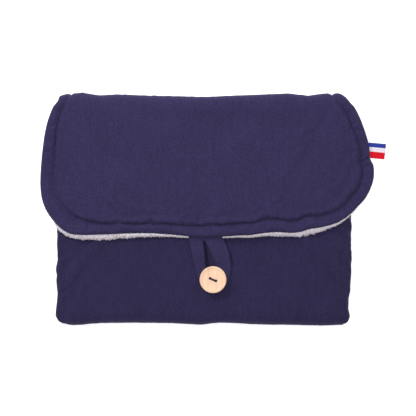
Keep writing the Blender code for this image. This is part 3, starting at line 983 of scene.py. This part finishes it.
def button_strands():
    """Strands of sewing thread over the button between its holes, and the shank below it."""
    over = BUTTON_LOW.z + BUTTON_THICKNESS - DISH_DEPTH
    a, b = HOLES
    along = (b - a).normalized()
    sideways = Vector((-along.y, along.x))
    foot = POCKET_TOP - 0.5 * MM
    paths = []
    for shift, rise in ((-0.62, 0.3), (-0.22, 0.75), (0.22, 0.7), (0.62, 0.3), (0.0, 0.15)):
        off = sideways * shift * MM
        arch = [
            (*(a + off * 0.8), over - 1.6 * MM),
            (*(a + off * 0.9 + along * 0.05 * MM), over - 0.4 * MM),
            (*(a + off + along * 0.5 * MM), over + (0.15 + 0.6 * rise) * MM),
            (*(a.lerp(b, 0.3) + off), over + (0.3 + rise) * MM),
            (*(a.lerp(b, 0.7) + off), over + (0.3 + rise) * MM),
            (*(b + off - along * 0.5 * MM), over + (0.15 + 0.6 * rise) * MM),
            (*(b + off * 0.9 - along * 0.05 * MM), over - 0.4 * MM),
            (*(b + off * 0.8), over - 1.6 * MM),
        ]
        paths.append(resample(arch, 0.25 * MM))
    for hole in HOLES:
        inwards = (Vector((BUTTON_X, BUTTON_Y)) - hole) * 0.35
        shank = [(*hole, over - 1.2 * MM), (*hole, BUTTON_LOW.z), (*(hole + inwards), foot)]
        paths.append(resample(shank, 0.5 * MM))
    radii = [np.full(len(p), 0.3 * MM) for p in paths[:5]]
    radii += [np.full(len(p), 0.62 * MM) for p in paths[5:]]
    return tubes("button_strands", paths, radii, 8)


thread_piece = button_strands()


# ---------------------------------------------------------------- the ribbon

RIBBON_WIDTH = 15 * MM
RIBBON_THICKNESS = 0.3 * MM
RIBBON_HALF = 0.42 * MM
RIBBON_SINK = 3 * MM
RIBBON_TUCK = 5 * MM
RIBBON_ALONG = 26
RIBBON_ACROSS = 34
RIBBON_SLANT = 2.4 * MM


def ribbon():
    """A ribbon folded in two, from inside the flap's edge out to its fold, with a slight curl."""
    corners = outline_rings("ribbon_tab", high("ribbon_tab").z)[0]
    middle = corners.mean(0)
    near = sorted(corners[corners[:, 0] < middle[0]], key=lambda p: -p[1])
    far = sorted(corners[corners[:, 0] > middle[0]], key=lambda p: -p[1])
    near_top, near_low = (np.array(p) for p in near)
    far_top, far_low = (np.array(p) for p in far)
    far_top[0] += RIBBON_SLANT / 2
    far_low[0] -= RIBBON_SLANT
    level = (low("ribbon_tab").z + high("ribbon_tab").z) / 2
    out_run = np.linspace(-RIBBON_TUCK / RIBBON_WIDTH, 1.0, RIBBON_ALONG)
    runs = [(1, u) for u in out_run] + [(-1, u) for u in out_run[::-1]]
    places = []
    flat = []
    for side, u in runs:
        free = max(0.0, u)
        for v in np.linspace(0.0, 1.0, RIBBON_ACROSS):
            spot = (near_top * (1 - u) + far_top * u) * (1 - v) + (near_low * (1 - u) + far_low * u) * v
            fray = 0.16 * MM * noise.noise(Vector((v * 30, side, 3.0))) * free
            gap = RIBBON_HALF * (1 - 0.2 * free) * min(1.0, ((1.0 - u) * 15 + 0.12) / 0.5) ** 0.5
            edge = min(1.0, (min(v, 1 - v) * 17 + 0.1) / 0.4) ** 0.5
            curl = 0.35 * MM * sin(pi * v) * free + 0.2 * MM * sin(5 * v + 2 * u)
            z = level - RIBBON_SINK - 1.4 * MM * free**2 + curl + side * gap * edge
            places.append((spot[0] + fray, spot[1], z))
            flat.append((u * RIBBON_WIDTH, v * RIBBON_WIDTH, 0.0))
    faces = []
    for row in range(len(runs) - 1):
        for column in range(RIBBON_ACROSS - 1):
            a = row * RIBBON_ACROSS + column
            faces.append((a, a + RIBBON_ACROSS, a + RIBBON_ACROSS + 1, a + 1))
    obj = smooth_mesh("striped_ribbon", places, faces)
    remember_place(obj, flat)
    thicken = obj.modifiers.new("thicken", "SOLIDIFY")
    thicken.thickness = RIBBON_THICKNESS
    thicken.offset = 0.0
    apply_modifiers(obj)
    return obj


ribbon_piece = ribbon()


# ---------------------------------------------------------------- materials


class Graph:
    """Short names for making shader nodes."""

    def __init__(self, name):
        self.material = bpy.data.materials.new(name)
        self.material.use_nodes = True
        self.tree = self.material.node_tree
        self.shader = self.tree.nodes["Principled BSDF"]

    def node(self, kind, inputs=None, **settings):
        made = self.tree.nodes.new("ShaderNode" + kind)
        for key, value in settings.items():
            setattr(made, key, value)
        for key, value in (inputs or {}).items():
            self.put(made.inputs[key], value)
        return made

    def put(self, socket, value):
        if isinstance(value, bpy.types.NodeSocket):
            self.tree.links.new(value, socket)
        else:
            socket.default_value = value

    def place(self):
        """Where the shaded point lies on the flat cloth, in metres."""
        return self.node("Attribute", attribute_name="cloth_place").outputs["Vector"]

    def position(self):
        return self.node("TexCoord").outputs["Object"]

    def along_y(self, vector):
        return self.node("SeparateXYZ", {"Vector": vector}).outputs["Y"]

    def scaled(self, vector, scale):
        return self.node("Mapping", {"Vector": vector, "Scale": scale}).outputs[0]

    def noise(self, vector, scale, detail=3.0, roughness=0.55, distortion=0.0):
        """Noise from 0 to 1 with features about the given sizes, in metres, along x, y and z."""
        place = self.scaled(vector, tuple(1 / s for s in scale))
        inputs = {"Vector": place, "Scale": 1.0, "Detail": detail, "Roughness": roughness}
        return self.node("TexNoise", {**inputs, "Distortion": distortion}).outputs["Fac"]

    def math(self, operation, a, b):
        made = self.node("Math", operation=operation)
        self.put(made.inputs[0], a)
        self.put(made.inputs[1], b)
        return made.outputs[0]

    def weighted(self, parts):
        """The sum of values, each times its weight."""
        total = 0.0
        for value, weight in parts:
            total = self.math("ADD", self.math("MULTIPLY", value, weight), total)
        return total

    def wave(self, vector, half_pitch, axis):
        """A smooth wave from 0 to 1 along x or y, with its crests about twice the given length apart."""
        inputs = {"Vector": self.scaled(vector, (1 / half_pitch,) * 3), "Scale": 1 / 6.2832}
        return self.node("TexWave", inputs, bands_direction=axis).outputs["Fac"]

    def grey(self, value):
        return self.node("CombineColor", {"Red": value, "Green": value, "Blue": value}).outputs["Color"]

    def ramp(self, factor, stops, mode="LINEAR"):
        made = self.node("ValToRGB", {"Fac": factor})
        made.color_ramp.interpolation = mode
        elements = made.color_ramp.elements
        while len(elements) > 1:
            elements.remove(elements[-1])
        elements[0].position = stops[0][0]
        elements[0].color = (*stops[0][1], 1.0)
        for place, colour in stops[1:]:
            elements.new(place).color = (*colour, 1.0)
        return made.outputs["Color"]

    def mix(self, factor, a, b, blend="MIX"):
        made = self.node("Mix", data_type="RGBA", blend_type=blend)
        self.put(made.inputs["Factor"], factor)
        self.put(made.inputs[6], a)
        self.put(made.inputs[7], b)
        return made.outputs[2]

    def bump(self, height, distance, strength=1.0, normal=None):
        inputs = {"Height": height, "Distance": distance, "Strength": strength}
        if normal is not None:
            inputs["Normal"] = normal
        return self.node("Bump", inputs).outputs["Normal"]

    def surface(self, **inputs):
        for key, value in inputs.items():
            self.put(self.shader.inputs[key.replace("_", " ")], value)
        return self.material


def linear(*levels):
    """A colour given as 0 to 255 display levels, in linear light."""
    return tuple((v / 255 / 12.92) if v <= 10 else ((v / 255 + 0.055) / 1.055) ** 2.4 for v in levels)


GAUZE_COLOUR = linear(45, 40, 71)
# Painted shade: how much darker the pocket's gauze is painted than the flap's.
POCKET_PAINTED_SHADE = 0.76
WOOD_DARK = linear(205, 164, 134)
WOOD_MIDDLE = linear(217, 181, 151)
WOOD_LIGHT = linear(226, 195, 165)
RIBBON_BLUE = linear(38, 54, 141)
RIBBON_WHITE = linear(223, 213, 221)
RIBBON_RED = linear(203, 5, 30)


def gauze_material():
    """Crinkled double gauze: fine plain weave, with soft puckers that run along the cloth.

    On the pocket, past the bottom fold, the colour is painted a little darker, as painted shade.
    """
    g = Graph("navy_gauze")
    place = g.place()
    grain = g.noise(place, (1.0 * MM, 1.4 * MM, 1.0), 3.0, 0.7)
    crinkle = g.noise(place, (1.0 * MM, 5.5 * MM, 1.0), 3.0, 0.6, 0.5)
    cross = g.noise(place, (6.0 * MM, 1.2 * MM, 1.0), 2.0, 0.6, 0.5)
    pucker = g.noise(place, (3.4 * MM, 22 * MM, 1.0), 3.0, 0.5, 0.5)
    cloud = g.noise(place, (36 * MM, 48 * MM, 1.0), 2.0, 0.5)
    warp = g.wave(place, 0.55 * MM, "X")
    weft = g.wave(place, 0.6 * MM, "Y")
    weave = g.math("MULTIPLY", warp, weft)
    tone = g.weighted(((grain, 0.52), (crinkle, 0.21), (cross, 0.11), (pucker, 0.09), (cloud, 0.07)))
    dark = tuple(c * 0.5 for c in GAUZE_COLOUR)
    light = tuple(c * 1.55 for c in GAUZE_COLOUR)
    colour = g.ramp(tone, ((0.34, dark), (0.66, light)))
    # Painted shade: past the bottom fold, the pocket's colour is multiplied darker than the flap's.
    fold = {"From Min": -FRONT_START, "From Max": -FOLD_START, "To Min": POCKET_PAINTED_SHADE, "To Max": 1.0}
    painted_shade = g.node("MapRange", {"Value": g.along_y(place), **fold}).outputs["Result"]
    colour = g.mix(1.0, colour, g.grey(painted_shade), "MULTIPLY")
    normal = g.bump(weave, 0.05 * MM, 0.4)
    normal = g.bump(g.weighted(((grain, 0.5), (crinkle, 0.5))), 0.45 * MM, 0.6, normal)
    normal = g.bump(pucker, 1.2 * MM, 0.4, normal)
    roughness = g.math("ADD", 0.88, g.math("MULTIPLY", grain, 0.1))
    g.surface(Sheen_Weight=0.1, Sheen_Roughness=0.55, Sheen_Tint=(0.45, 0.44, 0.75, 1.0))
    return g.surface(Base_Color=colour, Roughness=roughness, Normal=normal, Specular_IOR_Level=0.08)


def terry_material(name, levels):
    """Pale towelling of close, uneven loops, with the levels of its colour from deep in it to the tips:
    painted shade deep in the pile between the loops, with uneven tone.
    """
    g = Graph(name)
    place = g.position()
    tuft_place = g.scaled(place, (1 / (1.25 * MM),) * 3)
    cells = g.node("TexVoronoi", {"Vector": tuft_place, "Scale": 1.0, "Randomness": 0.8}).outputs["Distance"]
    tuft = g.noise(place, (0.8 * MM,) * 3, 3.0, 0.65)
    patch = g.noise(place, (7 * MM,) * 3, 2.0)
    # Painted shade: the colour is darker where the loops' bump is low and lighter where it is high, with
    # uneven patches.
    tone = g.weighted(((tuft, 0.6), (patch, 0.2), (cells, -0.25)))
    deep, middle, tips = (linear(v, v - 8, v) for v in levels)
    colour = g.ramp(tone, ((0.14, deep), (0.34, middle), (0.52, tips)))
    height = g.math("SUBTRACT", g.math("MULTIPLY", tuft, 0.6), g.math("MULTIPLY", cells, 0.8))
    normal = g.bump(height, 0.8 * MM, 0.7)
    g.surface(Sheen_Weight=0.25, Specular_IOR_Level=0.1)
    return g.surface(Base_Color=colour, Roughness=0.95, Normal=normal)


def thread_material():
    """Twisted navy sewing thread."""
    g = Graph("navy_thread")
    place = g.position()
    twist = g.noise(place, (0.3 * MM, 0.3 * MM, 0.9 * MM), 2.0)
    colour = g.ramp(twist, ((0.3, linear(22, 20, 46)), (0.7, linear(48, 45, 84))))
    normal = g.bump(twist, 0.1 * MM, 0.6)
    return g.surface(Base_Color=colour, Roughness=0.6, Normal=normal, Specular_IOR_Level=0.3)


def wood_material():
    """Pale maple with fine straight grain along Y."""
    g = Graph("light_wood")
    place = g.position()
    grain = g.noise(place, (0.5 * MM, 14 * MM, 3 * MM), 5.0, 0.6, 0.4)
    bands = g.noise(place, (2.6 * MM, 60 * MM, 9 * MM), 2.0, 0.5, 0.5)
    flecks = g.noise(place, (0.3 * MM, 2.6 * MM, 0.6 * MM), 2.0, 0.7)
    tone = g.weighted(((grain, 0.45), (bands, 0.45), (flecks, 0.12)))
    colour = g.ramp(tone, ((0.36, WOOD_DARK), (0.5, WOOD_MIDDLE), (0.64, WOOD_LIGHT)))
    normal = g.bump(grain, 0.05 * MM, 0.5)
    roughness = g.math("ADD", 0.42, g.math("MULTIPLY", grain, 0.16))
    return g.surface(Base_Color=colour, Roughness=roughness, Normal=normal, Specular_IOR_Level=0.35)


def ribbon_material():
    """Woven ribbon with three lengthwise stripes whose borders follow the ribs."""
    g = Graph("striped_ribbon")
    place = g.place()
    rib = g.wave(place, 0.796 * MM, "X")
    wobble = g.noise(place, (0.9 * MM, 40 * MM, 1.0), 1.0)
    grain = g.noise(place, (0.35 * MM, 0.8 * MM, 1.0), 2.0, 0.7)
    across = g.math("MULTIPLY", g.along_y(place), 1 / RIBBON_WIDTH)
    across = g.math("ADD", across, g.math("MULTIPLY", g.math("SUBTRACT", wobble, 0.5), 0.03))
    stripes = ((0.0, RIBBON_BLUE), (0.28, RIBBON_WHITE), (0.57, RIBBON_RED))
    seam = ((0.0, (1, 1, 1)), (0.43, (0.91, 0.85, 0.93)), (0.455, (1, 1, 1)))
    colour = g.mix(1.0, g.ramp(across, stripes, "CONSTANT"), g.ramp(across, seam, "CONSTANT"), "MULTIPLY")
    darker = g.mix(1.0, colour, (0.55, 0.55, 0.62, 1.0), "MULTIPLY")
    colour = g.mix(g.math("MULTIPLY", grain, 0.35), colour, darker)
    normal = g.bump(rib, 0.08 * MM, 0.4)
    normal = g.bump(grain, 0.1 * MM, 0.5, normal)
    return g.surface(Base_Color=colour, Roughness=0.7, Normal=normal, Specular_IOR_Level=0.15)


def wears(obj, material):
    obj.data.materials.clear()
    obj.data.materials.append(material)


gauze = gauze_material()
# Two copies of one towelling: the lining's colour is painted darker, as painted shade, and the fringe's
# lighter, as painted light, for how light falls on each.
terry = terry_material("terry_lining", (168, 196, 212))
terry_fringe_painted_light = terry_material("terry_fringe_painted_light", (200, 226, 240))
thread = thread_material()
wears(flap_cover, gauze)
wears(pouch_cover, gauze)
wears(loop_cloth_piece, gauze)
wears(flap_lining, terry)
wears(pouch_lining, terry)
wears(terry_fringe, terry_fringe_painted_light)
wears(flap_stitches, thread)
wears(pouch_stitches, thread)
wears(thread_piece, thread)
wears(button_piece, wood_material())
wears(ribbon_piece, ribbon_material())


# ---------------------------------------------------------------- what moves with what

# The cloth halves, their stitches, the loop and the ribbon stay baked in place; the towelling fringe goes
# with the flap, and the button and its thread go with the button.
for piece in (flap_cover, flap_lining, flap_stitches):
    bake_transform(piece)
for piece in (pouch_cover, pouch_lining, pouch_stitches):
    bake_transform(piece)
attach(terry_fringe, "flap")
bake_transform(loop_cloth_piece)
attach(button_piece, "button")
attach(thread_piece, "button")
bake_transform(ribbon_piece)

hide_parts("flap_outer_gauze", "flap_wadding", "spine_outer_gauze", "spine_wadding")
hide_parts("flap_terry_lining", "spine_terry_lining")
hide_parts("flap_topstitch")
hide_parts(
    "back_outer_gauze",
    "back_wadding",
    "bottom_fold_gauze",
    "bottom_fold_wadding",
    "pocket_outer_gauze",
    "pocket_wadding",
    "side_seam_left",
    "side_seam_right",
)
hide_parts("back_terry_lining", "bottom_fold_terry", "pocket_terry_lining")
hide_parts("closure_loop")
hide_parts("button")
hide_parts("button_thread")
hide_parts("ribbon_tab")


# ---------------------------------------------------------------- floor, light and camera


def floor():
    half = 4.0
    height = -0.2 * MM
    corners = [(-half, -half, height), (half, -half, height), (half, half, height), (-half, half, height)]
    obj = smooth_mesh("floor", corners, [(0, 1, 2, 3)])
    g = Graph("floor_white")
    g.surface(Emission_Color=(1.0, 1.0, 1.0, 1.0), Emission_Strength=0.5)
    obj.data.materials.append(g.surface(Base_Color=(0.93, 0.93, 0.93, 1.0), Roughness=0.9))


def area_light(name, place, target, size, power):
    data = bpy.data.lights.new(name, "AREA")
    data.shape = "DISK"
    data.size = size
    data.energy = power
    obj = add_object(name, data)
    obj.location = place
    obj.rotation_euler = (Vector(target) - Vector(place)).to_track_quat("-Z", "Y").to_euler()


def camera():
    """Straight above the case, with a long lens."""
    data = bpy.data.cameras.new("camera")
    data.sensor_width = 36.0
    above = 2.6
    view_width = 0.390
    data.lens = data.sensor_width * above / view_width
    data.clip_end = 20.0
    obj = add_object("camera", data)
    obj.location = (3.3 * MM, 0.0, above + 24 * MM)
    bpy.context.scene.camera = obj


floor()
area_light("key", (-0.62, 0.7, 0.8), (0.0, 0.02, 0.0), 0.35, 7.5)
area_light("top", (0.0, 0.15, 1.7), (0.0, 0.0, 0.0), 0.8, 17.0)
area_light("low_side", (0.3, -1.2, 0.8), (0.0, 0.0, 0.0), 0.9, 1.6)
area_light("behind", (0.55, 0.95, 0.5), (0.06, 0.08, 0.0), 0.4, 2.4)
world = bpy.data.worlds.new("studio")
world.use_nodes = True
background = world.node_tree.nodes["Background"]
background.inputs["Color"].default_value = (1.0, 1.0, 1.0, 1.0)
background.inputs["Strength"].default_value = 0.4
bpy.context.scene.world = world
bpy.context.scene.view_settings.view_transform = "Standard"
camera()
